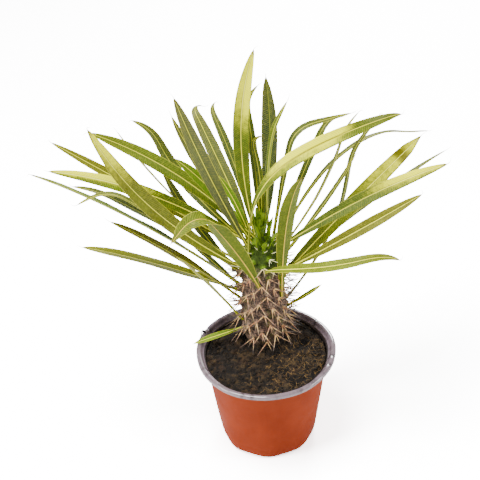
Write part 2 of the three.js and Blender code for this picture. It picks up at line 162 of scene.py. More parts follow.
# a number or colour in a node tree; + - * / and abs on it add Math nodes
class Wire:
    def __init__(self, tree, socket=None):
        self.tree = tree
        self.socket = socket

    # any node: its settings are set first, then its inputs by name or number
    def node(self, kind, settings=None, inputs=None, output=0):
        made = self.tree.nodes.new(kind)
        for key, value in (settings or {}).items():
            setattr(made, key, value)
        for key, value in (inputs or {}).items():
            if isinstance(value, Wire):
                self.tree.links.new(value.socket, made.inputs[key])
            elif isinstance(value, tuple) and made.inputs[key].type == "RGBA":
                made.inputs[key].default_value = (*value[:3], 1)
            else:
                made.inputs[key].default_value = value
        return Wire(self.tree, made.outputs[output] if len(made.outputs) else None)

    def maths(self, operation, a, b=0.0):
        return self.node("ShaderNodeMath", {"operation": operation}, {0: a, 1: b})

    def __add__(self, other):
        return self.maths("ADD", self, other)

    def __sub__(self, other):
        return self.maths("SUBTRACT", self, other)

    def __rsub__(self, other):
        return self.maths("SUBTRACT", other, self)

    def __mul__(self, other):
        return self.maths("MULTIPLY", self, other)

    def __truediv__(self, other):
        return self.maths("DIVIDE", self, other)

    __radd__ = __add__
    __rmul__ = __mul__

    def __abs__(self):
        return self.maths("ABSOLUTE", self)

    def fraction(self):
        return self.maths("FRACT", self)

    # 0 below low, 1 above high, smooth between; low may be the larger one
    def step(self, low, high):
        if low > high:
            return 1 - self.step(high, low)
        return self.node("ShaderNodeMapRange", {"interpolation_type": "SMOOTHSTEP"},
                         {0: self, 1: low, 2: high})

    # this number as the share of b in a mix of the colours a and b
    def blend(self, a, b):
        return self.node("ShaderNodeMix", {"data_type": "RGBA", "clamp_factor": True},
                         {0: self, 6: a, 7: b}, output=2)

    def attribute(self, name):
        return self.node("ShaderNodeAttribute", {"attribute_name": name}, output=2)

    # noise between about 0 and 1 on the piece's own coordinates, its grain size in millimetres
    def noise(self, size, detail=3.0, rough=0.55, stretch=(1, 1, 1), warp=0.0):
        place = self.node("ShaderNodeTexCoord", output=3)
        scaled = self.node("ShaderNodeMapping", inputs={
            "Vector": place, "Scale": tuple(1 / millimetre / size * share for share in stretch)})
        return self.node("ShaderNodeTexNoise", inputs={
            "Vector": scaled, "Scale": 1.0, "Detail": detail, "Roughness": rough,
            "Distortion": warp})


# colours laid over the first one, each where its own mask is 1
def layered(colour, *layers):
    for mask, tone in layers:
        colour = mask.blend(colour, tone)
    return colour


# a new material with an empty node tree, and a wire to fill it
def newMaterial(name):
    material = bpy.data.materials.new(name)
    material.use_nodes = True
    material.node_tree.nodes.clear()
    wire = Wire(material.node_tree)
    wire.material = material
    return wire


# ends a material: a principled surface whose height is a bump, depth millimetres deep
def surface(wire, colour, roughness, height=None, depth=0.3, **constant):
    inputs = {"Base Color": colour, "Roughness": roughness}
    inputs.update({key.replace("_", " "): value for key, value in constant.items()})
    if height is not None:
        inputs["Normal"] = wire.node("ShaderNodeBump", inputs={
            "Strength": 1.0, "Distance": depth * millimetre, "Height": height})
    shader = wire.node("ShaderNodeBsdfPrincipled", inputs=inputs)
    wire.node("ShaderNodeOutputMaterial", inputs={"Surface": shader})
    return wire.material


# the base colour that shows on screen as red, green, blue (0..255) in full studio light. It undoes
# the AgX view: the inset matrix, the light 2^(16.5 e - 12.474) whose contrast curve gives the
# screen value, the matrix's inverse, and last the studio's light level
viewMatrix = np.array([[0.8425, 0.0784, 0.0792], [0.0423, 0.8785, 0.0792], [0.0424, 0.0784, 0.8791]])
viewSteps = np.linspace(0, 1, 2001)
viewCurve = np.polyval([15.5, -40.14, 31.96, -6.868, 0.4298, 0.1191, -0.0023], viewSteps)
lightLevel = 2.3


def rgb(red, green, blue):
    step = np.interp(viewMatrix @ (np.array([red, green, blue]) / 255), viewCurve, viewSteps)
    light = np.linalg.solve(viewMatrix, 2 ** (16.5 * step - 12.474)) / lightLevel
    return tuple(float(part) for part in np.clip(light, 0.002, 0.92))


view = dict(
    target=(-18.6, 0, 228), distance=1187,          # mm
    elevation=37.0, roll=-3.0, fieldOfView=20.0,    # degrees
)


# the camera stands at target + distance (0, -cos e, sin e), looks back at the target and is
# rolled about that line
def addCamera():
    tilt, roll = math.radians(view["elevation"]), math.radians(view["roll"])
    back = Vector((0, -math.cos(tilt), math.sin(tilt)))
    right = Vector((1, 0, 0))
    up = right.cross(-back)
    right, up = (right * math.cos(roll) + up * math.sin(roll),
                 up * math.cos(roll) - right * math.sin(roll))
    place = (Vector(view["target"]) + back * view["distance"]) * millimetre
    data = bpy.data.cameras.new("camera")
    data.sensor_fit = "HORIZONTAL"
    data.sensor_width = 36
    data.lens = data.sensor_width / 2 / math.tan(math.radians(view["fieldOfView"]) / 2)
    data.clip_start, data.clip_end = 0.05, 20
    camera = bpy.data.objects.new("camera", data)
    axes = Matrix((right, up, back)).transposed().to_4x4()
    camera.matrix_world = Matrix.Translation(place) @ axes
    bpy.context.scene.collection.objects.link(camera)
    bpy.context.scene.camera = camera


studio = dict(
    floorHalf=6000, floorColour=(0.86, 0.86, 0.86),
    floorGlow=6.5,    # how much brighter than its bounce light the floor looks
    skyColour=(1.0, 1.0, 1.0), skyStrength=0.5,
    aim=(0, 0, 200),  # mm, the point that every lamp faces
    # name, place in mm, size in mm, power in watts
    lamps=(("topLight", (-350, -150, 1500), 700, 38.0),
           ("leftLight", (-1300, -500, 750), 600, 28.0),
           ("rightLight", (1300, -300, 650), 600, 18.0),
           ("backLight", (300, 1300, 900), 500, 16.0)),
)


# a white floor that the camera sees floorGlow times as bright as the plant does
def addFloor():
    wire = newMaterial("paleFloor")
    seen = wire.node("ShaderNodeLightPath")
    white = studio["floorColour"]
    bright = tuple(part * studio["floorGlow"] for part in white)
    shader = wire.node("ShaderNodeBsdfDiffuse", inputs={"Color": seen.blend(white, bright)})
    wire.node("ShaderNodeOutputMaterial", inputs={"Surface": shader})
    corners = studio["floorHalf"] * np.array([[-1, -1, 0], [1, -1, 0], [1, 1, 0], [-1, 1, 0]])
    floor = newObject("floor", corners, [np.arange(4)[None]])
    floor.data.materials.append(wire.material)


# a white sky and round lamps, each turned from its place to the one aim
def addLight():
    world = bpy.data.worlds.new("softSky")
    world.use_nodes = True
    sky = world.node_tree.nodes["Background"].inputs
    sky["Color"].default_value = (*studio["skyColour"], 1)
    sky["Strength"].default_value = studio["skyStrength"]
    bpy.context.scene.world = world
    for name, place, size, power in studio["lamps"]:
        data = bpy.data.lights.new(name, "AREA")
        data.shape = "DISK"
        data.size = size * millimetre
        data.energy = power
        lamp = bpy.data.objects.new(name, data)
        lamp.location = Vector(place) * millimetre
        aim = Vector(studio["aim"]) * millimetre - lamp.location
        lamp.rotation_mode = "QUATERNION"
        lamp.rotation_quaternion = aim.to_track_quat("-Z", "Y")
        bpy.context.scene.collection.objects.link(lamp)


addCamera()
addFloor()
addLight()
print("camera, floor and light are set")


pot = dict(
    rimRadius=65, height=100, lipWidth=4.7, lipHeight=4, wall=1, floor=1.4,
    wallLow=43.9, wallLean=0.143, footRadius=42,
    cornerCut=2.4, cornerHeight=3,                  # the round between the foot and the wall
    lobes=8, lobeDepth=0.02, lobeHeight=9, footTurn=-94,
    drainRadius=3, drainCircle=33, drainSides=24,
    creases=(-112, -104, -24, -13, 36, 148, 201),   # degrees round the lip
    creaseHalf=1.3, creaseDepth=0.35, creaseDrop=0.3,
    sides=300,
    outside=rgb(187, 97, 64), outsideDark=rgb(180, 88, 56),
    streak=rgb(198, 104, 66), scuff=rgb(214, 146, 112),
    inside=rgb(74, 62, 60), insideDark=rgb(48, 40, 38),
    lip=rgb(160, 146, 152), lipWorn=rgb(128, 114, 120),
    lipSpeck=rgb(205, 198, 202), lipCreaseShade=rgb(78, 66, 70),
)


# wall radius at height z: a straight lean less a rounded corner, a + b z - c exp(-z / d)
def wallRadius(z):
    corner = pot["cornerCut"] * np.exp(-z / pot["cornerHeight"])
    return pot["wallLow"] + pot["wallLean"] * z - corner


# how far the foot's lobes stand out, as a share of the radius: depth exp(-z / h) cos(8 a)
def lobeShare(angle, z):
    turn = pot["lobes"] * (angle - math.radians(pot["footTurn"]))
    return pot["lobeDepth"] * np.exp(-z / pot["lobeHeight"]) * np.cos(turn)


# a polyline's corners rounded by cutting each one twice, with its two ends kept
def rounded(profile, rounds):
    for _ in range(rounds):
        a, b = profile[:-1], profile[1:]
        cut = np.stack([0.75 * a + 0.25 * b, 0.25 * a + 0.75 * b], 1)
        cut = cut.reshape(-1, profile.shape[1])
        profile = np.concatenate([profile[:1], cut[1:-1], profile[-1:]])
    return profile


# the wall's section as radius, height and the part it belongs to: 0 outside, 1 lip, 2 inside
def potProfile():
    foot, floor, lip, low = pot["footRadius"], pot["floor"], pot["lipWidth"], pot["lipHeight"]
    up = np.array([3, 4.5, 7, 10, 16, 24, 34, 46, 60, 72, 84, 91, 93.5, 94.5])
    outside = np.stack([wallRadius(up), up], 1)
    inside = outside[::-1] - [pot["wall"], 0]
    under = [[0.01, 0], [20, 0], [36, 0], [foot - 2.4, 0], [foot - 1, 0.3], [foot - 0.2, 1.4]]
    # out under the lip, round its edge, back over its top and down inside, from the rim's corner
    edge = [pot["rimRadius"], pot["height"]] + np.array([
        [-lip - 0.4, -4], [-lip + 0.2, -1.9], [-2.4, -1.5], [-1.5, -2], [-1.4, -3.2],
        [-1.3, -low], [-0.7, -low - 0.35], [-0.15, -3.8], [0, -1.8], [-0.5, -0.5], [-1.8, 0],
        [-3.4, 0.05], [-lip + 1, -0.1], [-lip, -0.8], [-lip - 0.9, -3.5]])
    base = [[foot - 1.8, 1.7], [36, floor], [0.01, floor]]
    part = np.repeat([0.0, 1, 2],
                     [len(under) + len(outside), len(edge), len(inside) + len(base)])
    return rounded(np.column_stack([[*under, *outside, *edge, *inside, *base], part]), 2)


# matt streaked wall, glossy greyed lip whose creases are darkened with painted shade, and a dark
# inside
def potMaterial():
    wire = newMaterial("mouldedPot")
    place = wire.attribute("part")
    isOutside, isInside = place.step(0.6, 0.4), place.step(1.4, 1.6)
    blotch = wire.noise(34, 3, 0.5)
    streak = wire.noise(6, 4, 0.6, (1, 1, 0.2))
    scuff = wire.noise(2.2, 4, 0.7, (1, 1, 2.5), 0.6)
    red = layered(
        pot["outside"],
        (blotch.step(0.35, 0.7), pot["outsideDark"]),
        (streak.step(0.45, 0.8) * 0.16, pot["streak"]),
        (scuff.step(0.68, 0.78) * 0.2, pot["scuff"]))
    grey = layered(
        pot["lip"],
        (wire.noise(9, 4, 0.6).step(0.46, 0.72), pot["lipWorn"]),
        (wire.noise(1.2, 2).step(0.6, 0.72) * 0.3, pot["lipSpeck"]),
        # painted shade: the lip is darkened along its creases
        (wire.attribute("crease") * 0.75, pot["lipCreaseShade"]))
    # the inside is a dark brown, darker in patches
    inner = scuff.step(0.4, 0.7).blend(pot["inside"], pot["insideDark"])
    colour = isOutside.blend(isInside.blend(grey, inner), red)
    rough = wire.noise(12, 3).step(0.3, 0.7) * 0.1 + isOutside * 0.16 + 0.27
    grain = wire.noise(0.9, 2) * 0.2 + wire.noise(9, 2) * 0.8
    return surface(wire, colour, rough, grain, 0.22, Specular_IOR_Level=0.02,
                   Coat_Weight=1 - isOutside, Coat_Roughness=0.08, Coat_IOR=1.8)


# the profile carried round: radius and height over turns, changed by lobes, waves and creases
def addPot():
    profile = potProfile()
    angle = turns(pot["sides"])
    radius = np.broadcast_to(profile[:, :1], (len(profile), pot["sides"])).copy()
    z = np.broadcast_to(profile[:, 1:2], radius.shape).copy()
    part = np.broadcast_to(profile[:, 2:], radius.shape)
    # the foot's lobes, and a wall and lip that aren't quite round or level
    radius *= 1 + lobeShare(angle, z) * smoothStep(20, 36, radius)
    wave = 0.25 * np.sin(3 * angle + 1) + 0.18 * np.sin(5 * angle + 0.4) + 0.1 * np.sin(11 * angle)
    radius += wave * smoothStep(20, 95, z) * smoothStep(30, 40, radius)
    z += (0.3 * np.sin(2 * angle + 2) + 0.16 * np.sin(7 * angle)) * smoothStep(88, 99, z)
    # creases pressed into the lip: narrow dents exp(-(a / half)^2) at a few angles
    turn = np.degrees(angle)[:, None] - np.array(pot["creases"])
    crease = np.exp(-(((turn + 180) % 360 - 180) / pot["creaseHalf"]) ** 2).sum(1)
    onLip = smoothStep(pot["height"] - 5, pot["height"] - 1, z) * smoothStep(55, 60, radius)
    radius -= pot["creaseDepth"] * crease * onLip
    z -= pot["creaseDrop"] * crease * onLip
    numbers = {"part": part.ravel(), "crease": np.broadcast_to(crease, radius.shape).ravel()}
    return addPiece("pot_shell", around(radius, angle, z), skinFaces(*radius.shape),
                    potMaterial(), ("pot",), numbers)


# drain holes through the foot, halfway between its lobes: eight short cylinders are cut away
def cutDrainHoles(shell):
    turn = np.radians(pot["footTurn"] + 360 * (np.arange(pot["lobes"]) + 0.5) / pot["lobes"])
    paths = around(pot["drainCircle"], turn, 0)[:, None] + np.array([[0, 0, -2], [0, 0, 3]])
    radii = np.full(paths.shape[:2], pot["drainRadius"])
    cutter = newObject("drainCutter", *tubes(paths, radii, pot["drainSides"]))
    cut = shell.modifiers.new("drainHoles", "BOOLEAN")
    cut.operation, cut.solver, cut.object = "DIFFERENCE", "EXACT", cutter
    used = (cutter.data, shell.data)
    drained = shell.evaluated_get(bpy.context.evaluated_depsgraph_get())
    shell.data = bpy.data.meshes.new_from_object(drained)
    shell.data.name = "pot_shell"
    shell.modifiers.clear()
    for mesh in used:
        bpy.data.meshes.remove(mesh)   # the cutter goes with its mesh


curl = dict(
    turn=157, swing=0.13, lift=4.6,   # degrees round the lip, radians along it, mm above it
    inset=3.4, lean=2.2, half=1.3, sides=10,
    dark=rgb(62, 52, 56), pale=rgb(98, 84, 90),
)


# a torn sliver of the lip that curls up: a flat strip along p(u), an arc that stands on the lip
def addCurl():
    u = np.linspace(0, 1, 18)
    swing = math.radians(curl["turn"]) + curl["swing"] * (u - 0.4)
    lift = curl["lift"] * np.sin(np.pi * u ** 0.8)
    radius = pot["rimRadius"] - curl["inset"] + curl["lean"] * np.sin(2.6 * u)
    path = around(radius, swing, pot["height"] - 0.4 + lift)
    half = curl["half"] * (1 - 0.6 * u ** 2)
    points, groups = tubes(path[None], half[None], curl["sides"], flatten=0.4)
    wire = newMaterial("tornPlastic")
    colour = wire.noise(2, 2).step(0.4, 0.6).blend(curl["dark"], curl["pale"])
    addPiece("rim_curl", points, groups, surface(wire, colour, 0.35))


cutDrainHoles(addPot())
addCurl()
print("pot is made")


trunk = dict(
    setBack=27, foot=97, rootDepth=25, top=213, bulge=21.9, taper=0.35, crownStart=190,
    tubercles=104, tubercleHeight=1.7, tubercleSpread=3.0, goldenAngle=137.508,
    knobsStart=5, knobsSpan=98,              # the tubercles' heights above the foot
    seatHeight=0.8, seatSpread=1.3, furrowDepth=0.9,
    crownKnobs=26, crownLow=197, crownSpan=14.5, crownTurn=40,
    crownKnobHeight=1.1, crownKnobSpread=1.9,
    rows=230, columns=220,
    bark=rgb(152, 132, 112), barkPale=rgb(200, 180, 164), barkCrackAndShade=rgb(50, 39, 35),
    rosy=rgb(176, 132, 118), moss=rgb(136, 136, 56),
    green=rgb(112, 146, 14), greenPale=rgb(166, 192, 60), greenKnobShade=rgb(66, 88, 12),
)


# trunk radius at height z: root ellipse below the soil; above it bulge x taper x waist x dome
def trunkRadius(z):
    z = np.asarray(z, float)
    foot, top, start = trunk["foot"], trunk["top"], trunk["crownStart"]
    down = np.clip((foot - z) / trunk["rootDepth"], 0, 1)
    root = 0.8 * trunk["bulge"] * np.sqrt(1 - down ** 2)
    up = np.clip((z - foot) / (top - foot), 0, 1)
    taper = 1 - trunk["taper"] * up ** 1.6
    waist = 1 - 0.2 * np.exp(-np.maximum(z - foot, 0) / 6)
    crown = np.clip((z - start) / (top - start), 0, 1)
    return np.where(z < foot, root, trunk["bulge"] * taper * waist * np.sqrt(1 - crown ** 2))


# shares of the way up and angles of knobs on a spiral that turns by the golden angle
def knobSpiral(count, turn=0):
    angles = np.radians(trunk["goldenAngle"] * np.arange(count) + turn)
    return (np.arange(count) + 0.5) / count, angles


knobUp, knobAngle = knobSpiral(trunk["tubercles"])
knobHeight = trunk["foot"] + trunk["knobsStart"] + trunk["knobsSpan"] * knobUp
# smaller, younger tubercles crowd the domed top
crownUp, crownAngle = knobSpiral(trunk["crownKnobs"], trunk["crownTurn"])
crownHeight = trunk["crownLow"] + trunk["crownSpan"] * crownUp ** 0.8


# distance in mm over the bark from each point to each tubercle, squared
def knobDistance(angle, z, knobAngles, knobHeights):
    turn = angle[:, None] - knobAngles[None]
    across = np.arctan2(np.sin(turn), np.cos(turn)) * trunkRadius(knobHeights)[None]
    return across ** 2 + (z[:, None] - knobHeights[None]) ** 2


# pale grey bark with moss, dark cracks and painted shade in the furrows between the tubercles,
# which turns green towards the crown, with painted shade between the crown's knobs
def barkMaterial():
    wire = newMaterial("spinyBark")
    raised = wire.attribute("knob").step(0.05, 0.75)
    patch = wire.noise(9, 4, 0.6)
    fleck = wire.noise(1.7, 3, 0.7)
    crack = wire.noise(3.0, 4, 0.65, (1, 1, 1.9), 0.8)
    greenHere = (wire.attribute("level") + (wire.noise(6, 2) - 0.5) * 26).step(172, 190)
    green = layered(
        trunk["green"],
        (fleck.step(0.4, 0.62), trunk["greenPale"]),
        # painted shade between the crown's knobs, away from the buds
        (wire.attribute("bud").step(0.75, 0.15) * 0.85, trunk["greenKnobShade"]))
    colour = layered(
        trunk["bark"],
        (fleck.step(0.38, 0.66), trunk["barkPale"]),
        (wire.noise(14, 2).step(0.5, 0.7) * 0.45, trunk["rosy"]),
        (patch.step(0.5, 0.64) * 0.75, trunk["moss"]),
        (crack.step(0.55, 0.4) * 0.9, trunk["barkCrackAndShade"]),
        # painted shade in the furrows between the tubercles
        ((1 - raised) * 0.45, trunk["barkCrackAndShade"]),
        (greenHere, green))
    height = fleck * 0.5 + crack * 1.0 + patch * 0.2
    return surface(wire, colour, 0.72, height, 0.8, Specular_IOR_Level=0.18)


# radius over turns and heights: the trunk's own, with a dome exp(-(d / s)^2) at every tubercle
def addTrunk():
    foot, top, low = trunk["foot"], trunk["top"], trunk["foot"] - trunk["rootDepth"]
    share = np.linspace(0, 1, trunk["rows"])
    # rows stand closer at the domed ends
    z = low + (top - low) * (share - np.sin(2 * np.pi * share) * 0.12)
    angles, heights = spread(turns(trunk["columns"]), z)
    radius = trunkRadius(heights)
    far = knobDistance(angles, heights, knobAngle, knobHeight)
    swelling = np.minimum(np.exp(-far / trunk["tubercleSpread"] ** 2).sum(1), 1)
    free = smoothStep(foot + 2, foot + 7, heights) * (1 - smoothStep(top - 12, top - 4, heights))
    flat = around(radius, angles, heights)
    rough = 0.5 * ripple(flat, 6, 3) + 0.28 * ripple(flat, 2.6, 4) + 0.12 * ripple(flat, 1.3, 5)
    # a sharp little seat under each pair of thorns, and furrows between the tubercles
    seat = trunk["seatHeight"] * np.exp(-far / trunk["seatSpread"] ** 2).sum(1)
    furrow = -trunk["furrowDepth"] * smoothStep(3.2, 5.6, np.sqrt(far.min(1)))
    near = knobDistance(angles, heights, crownAngle, crownHeight).min(1)
    dome = smoothStep(192, 198, heights)
    buds = trunk["crownKnobHeight"] * np.exp(-near / trunk["crownKnobSpread"] ** 2) - 0.4 * dome
    swelling = trunk["tubercleHeight"] * 1.15 * swelling
    radius = radius + (swelling + seat + furrow + rough) * free
    radius = radius + buds * (1 - smoothStep(210, 212.5, heights)) * dome
    points = around(np.maximum(radius, 0.02), angles, heights, trunk["setBack"])
    young = np.maximum(np.exp(-near / 2.0 ** 2), np.exp(-far.min(1) / 2.6 ** 2))
    addPiece("trunk_bark", points, skinFaces(trunk["rows"], trunk["columns"]), barkMaterial(),
             ("trunk",),
             {"knob": np.exp(-far.min(1) / 3.0 ** 2), "bud": young, "level": heights})


thorns = dict(
    length=18, radius=0.55, sides=5, steps=6, root=1.8, proud=1.6,
    splay=38, dip=-24, rise=26,              # degrees; the dip lessens by rise up the trunk
    crownLength=5.5, crownProud=0.9, crownSplay=34,
    base=rgb(232, 214, 184), baseDark=rgb(206, 170, 142),
    tip=rgb(172, 146, 128), tipDark=rgb(104, 90, 84),
    sideShade=rgb(134, 116, 104), sideShadeTip=rgb(72, 64, 62), crown=rgb(228, 226, 206),
)

thornDraw = np.random.default_rng(21)


# directions and lengths of one thorn at each knob, about a side and a tilt in degrees
def thornSet(angles, side, tilt, jitter, reach, shares):
    shift = thornDraw.normal(0, jitter, (2, len(angles)))
    along = direction(angles + np.radians(side + shift[0]), np.radians(tilt + shift[1]))
    return along, reach * thornDraw.uniform(*shares, len(angles))


# paths of thorns from their feet, directions and lengths, sagging a little to one side:
# p(u) = foot + (u (length + root) - root) along + bow u^2 sideways
def thornPaths(foot, along, reach, bow):
    u = np.linspace(0, 1, thorns["steps"])[None, :, None]
    helper = thornDraw.normal(size=along.shape)
    sideways = np.cross(along, helper)
    sideways /= np.linalg.norm(sideways, axis=1, keepdims=True)
    run = u * (reach[:, None, None] + thorns["root"]) - thorns["root"]
    sag = (bow * reach)[:, None, None] * u ** 2 * sideways[:, None]
    return foot[:, None] + run * along[:, None] + sag


# foot points on the bark at given angles and heights
def barkFeet(angles, heights, proud):
    return around(trunkRadius(heights) + proud, angles, heights, trunk["setBack"])


# horn that is tan at its base and dark at its tip, darker and greyer with painted shade where it
# stands to the sides and back, pale on the crown
def thornMaterial():
    wire = newMaterial("thornHorn")
    run = wire.attribute("run")
    base = wire.noise(4, 2).step(0.4, 0.6).blend(thorns["base"], thorns["baseDark"])
    tip = wire.noise(9, 2).step(0.4, 0.65).blend(thorns["tip"], thorns["tipDark"])
    # painted shade for the thorns that stand to the sides and the back
    sideShade = run.step(0.0, 0.6).blend(thorns["sideShade"], thorns["sideShadeTip"])
    colour = layered(
        base,
        (run.step(0.3, 0.9), tip),
        (wire.attribute("sideShade") * 0.9, sideShade),
        (wire.attribute("level").step(180, 196) * 0.85, thorns["crown"]))
    return surface(wire, colour, 0.45, IOR=1.5)


# every tubercle bears two long thorns that spread and dip, and shorter ones between them; the
# crown's young ones bear a pale pair that opens like a V
def addThorns():
    splay = thorns["splay"] + 8 * np.sin(7 * knobAngle)
    middle = 6 * np.sin(knobAngle * 3)
    dip = thorns["dip"] + thorns["rise"] * knobUp + 8 * np.sin(5 * knobAngle)
    size = thorns["length"] * (1 - 0.5 * smoothStep(0.8, 1, knobUp))
    foot = barkFeet(knobAngle, knobHeight, thorns["proud"])
    sets = []
    for side, tilt, share in ((splay, dip, 1), (-splay, dip, 1),
                              (middle, dip + 30, 0.8), (middle, dip - 18, 0.6)):
        sets.append((foot, *thornSet(knobAngle, side, tilt, 6, size * share, (0.85, 1.04))))
    foot = barkFeet(crownAngle, crownHeight, thorns["crownProud"])
    for side in (thorns["crownSplay"], -thorns["crownSplay"]):
        sets.append((foot, *thornSet(crownAngle, side, 25 + 50 * crownUp, 7,
                                     thorns["crownLength"], (0.7, 1.15))))
    feet, alongs, reaches = (np.concatenate(each) for each in zip(*sets))
    paths = thornPaths(feet, alongs, reaches, thornDraw.uniform(0, 0.1, len(feet)))
    keep = thornIsFree(paths)
    paths, reaches = paths[keep], reaches[keep]
    u = np.linspace(0, 1, thorns["steps"])
    taper = (1 - u) ** 0.5 + 0.16
    stout = thorns["radius"] * (0.55 + 0.45 * reaches / thorns["length"])
    points, groups = tubes(paths, stout[:, None] * taper, thorns["sides"])
    run = np.repeat(np.tile(u, len(paths)), thorns["sides"])
    # thorns that stand out to the sides and the back get painted shade: darker and greyer
    way = paths[:, -1, :2] - paths[:, 0, :2]
    facing = -way[:, 1] / np.hypot(way[:, 0], way[:, 1])
    sideShade = np.repeat(smoothStep(0.75, 0.1, facing), len(u) * thorns["sides"])
    addPiece("trunk_thorns", points, groups, thornMaterial(), ("trunk",),
             {"run": run, "level": points[:, 2], "sideShade": sideShade})
    print("thorns kept:", int(keep.sum()), "of", len(keep))


soil = dict(
    edgeLevel=93, mound=4, moundSpread=26, gap=0.5, settled=0.9,
    pits=((27, -38, 34, 4.5), (36, 12, 40, 3)),     # x, y, spread squared, depth
    lumps=900, crumbs=760, crumbReach=55, fibres=260, fibreReach=54,
    columns=260, rings=150,
    sideLevels=(1.7, 2.6, 4, 7, 10, 18, 34, 60, 91),
    dark=rgb(28, 22, 18), middle=rgb(68, 51, 34), light=rgb(120, 96, 60), rust=rgb(98, 66, 40),
    fibre=rgb(160, 132, 82), fibreDark=rgb(98, 78, 48), fibrePale=rgb(190, 162, 108),
)


# height of the soil: a level with a heap round the trunk and a shallow roll
def soilLevel(x, y):
    far = np.hypot(x, y - trunk["setBack"]) / soil["moundSpread"]
    roll = 0.5 * np.sin(0.21 * x + 1) * np.cos(0.17 * y) + 0.3 * np.sin(0.43 * x - 0.31 * y)
    return soil["edgeLevel"] + soil["mound"] * np.exp(-far ** 2) + roll


soilDraw = np.random.default_rng(8)
lumpPlace = soilDraw.uniform(-60, 60, (soil["lumps"], 2))
lumpSize = soilDraw.uniform(1.0, 3.6, soil["lumps"]) ** 1.15
lumpHeight = lumpSize * soilDraw.uniform(0.2, 0.6, soil["lumps"])


# lumps on the level: the highest of many small domes h exp(-(d / s)^4), two finer grains, and
# pits d exp(-r^2 / s), one at the front right and a smaller one at the back
def soilRough(x, y):
    flat = np.stack([x, y], -1)
    lumps = np.zeros(len(x))
    for start in range(0, soil["lumps"], 150):
        part = slice(start, start + 150)
        far = ((flat[:, None] - lumpPlace[None, part]) ** 2).sum(-1) / lumpSize[part] ** 2
        lumps = np.maximum(lumps, (lumpHeight[part] * np.exp(-far ** 2)).max(1))
    grain = 0.36 * ripple(flat, 3.1, 11, 14) + 0.24 * ripple(flat, 1.5, 12, 14)
    pits = sum(depth * np.exp(-((x - pitX) ** 2 + (y - pitY) ** 2) / wide)
               for pitX, pitY, wide, depth in soil["pits"])
    return lumps + grain - soil["settled"] - pits


# dark crumbly peat with lighter and rusty patches, streaks of fibre, the crumbs' own tone, and
# painted shade in the bed's hollows and painted light on its crests
def soilMaterial():
    wire = newMaterial("crumblySoil")
    large, fine = wire.noise(7, 4, 0.6), wire.noise(1.0, 3, 0.75)
    strand = wire.noise(1.9, 4, 0.6, (3.0, 0.8, 1), 1.6)
    tone = wire.attribute("tone")
    colour = layered(
        soil["dark"],
        (fine.step(0.38, 0.68), soil["middle"]),
        (large.step(0.52, 0.72) * 0.55, soil["light"]),
        (wire.noise(15, 2).step(0.52, 0.66) * 0.4, soil["rust"]),
        (strand.step(0.62, 0.7) * 0.5, soil["fibre"]),
        # tone: the crumbs' own tone, and on the bed painted light on the crests and painted shade in
        # the hollows
        (tone.step(0.5, 1.0) * 0.8, soil["light"]),
        (tone.step(0.45, 0.0) * 0.9, soil["dark"]))
    return surface(wire, colour, 0.9, fine * 0.8 + large * 0.5, 1.0, Specular_IOR_Level=0.25)


# the bed's radius at height z: the pot's inner wall less a small gap
def soilRadius(z):
    return wallRadius(z) - pot["wall"] - soil["gap"]


# the bed: a top at share x inner radius over turns, level plus lumps, and a side below it
def addSoil():
    columns = soil["columns"]
    angle = turns(columns)
    share = np.concatenate([[0.002], np.linspace(0.02, 1, soil["rings"])])[::-1]
    angles, shares = spread(angle, share)
    inner = soilRadius(soil["sideLevels"][-1]) * shares
    x, y = inner * np.cos(angles), inner * np.sin(angles)
    relief = soilRough(x, y)
    top = np.stack([x, y, soilLevel(x, y) + relief * (1 - smoothStep(0.985, 1, shares))], -1)
    # the side follows the pot's inner wall and its lobed foot down to the bottom
    angles, levels = spread(angle, soil["sideLevels"])
    side = around(soilRadius(levels) * (1 + lobeShare(angles, levels)), angles, levels)
    points = np.concatenate([side, top])
    material = soilMaterial()
    # painted shade darkens the hollows between the lumps and painted light brightens their crests
    tone = np.concatenate([np.full(len(side), 0.5), np.clip(0.42 + 0.3 * relief, 0, 0.8)])
    addPiece("soil_bed", points, skinFaces(len(points) // columns, columns), material,
             ("soil",), {"tone": tone})
    addCrumbs(material)


# loose crumbs: squashed twelve-cornered grains, each with its own size, turn and dents
def addCrumbs(material):
    golden = (1 + 5 ** 0.5) / 2
    sheet = np.array([[-1, golden, 0], [1, golden, 0], [-1, -golden, 0], [1, -golden, 0]]) / 1.9
    corners = np.concatenate([np.roll(sheet, axis, axis=1) for axis in range(3)])
    sides = np.array([[0, 11, 5], [0, 5, 1], [0, 1, 7], [0, 7, 10], [0, 10, 11],
                      [1, 5, 9], [5, 11, 4], [11, 10, 2], [10, 7, 6], [7, 1, 8],
                      [3, 9, 4], [3, 4, 2], [3, 2, 6], [3, 6, 8], [3, 8, 9],
                      [4, 9, 5], [2, 4, 11], [6, 2, 10], [8, 6, 7], [9, 8, 1]])
    count = soil["crumbs"]
    radius = soil["crumbReach"] * np.sqrt(soilDraw.uniform(0, 1, count))
    turn = soilDraw.uniform(0, 2 * np.pi, count)
    x, y = radius * np.cos(turn), radius * np.sin(turn)
    size = soilDraw.uniform(0.3, 1.0, count) ** 1.8 * 2.2
    dents = soilDraw.uniform(0.72, 1.2, (count, 12, 1))
    shape = corners * dents * soilDraw.uniform(0.7, 1.1, (count, 1, 3))
    spin = soilDraw.uniform(0, 2 * np.pi, count)[:, None]
    shape = np.stack([np.cos(spin) * shape[..., 0] - np.sin(spin) * shape[..., 1],
                      np.sin(spin) * shape[..., 0] + np.cos(spin) * shape[..., 1],
                      shape[..., 2] * 0.8], -1) * size[:, None, None]
    middle = np.stack([x, y, soilLevel(x, y) + soilRough(x, y) + 0.25 * size], -1)
    points = (shape + middle[:, None]).reshape(-1, 3)
    faces = (sides[None] + (np.arange(count) * 12)[:, None, None]).reshape(-1, 3)
    tone = soilDraw.choice([0.0, 0.4, 0.7, 1.0], count, p=[0.35, 0.4, 0.18, 0.07])
    addPiece("soil_crumbs", points, [faces], material, ("soil",),
             {"tone": np.repeat(tone, 12)})


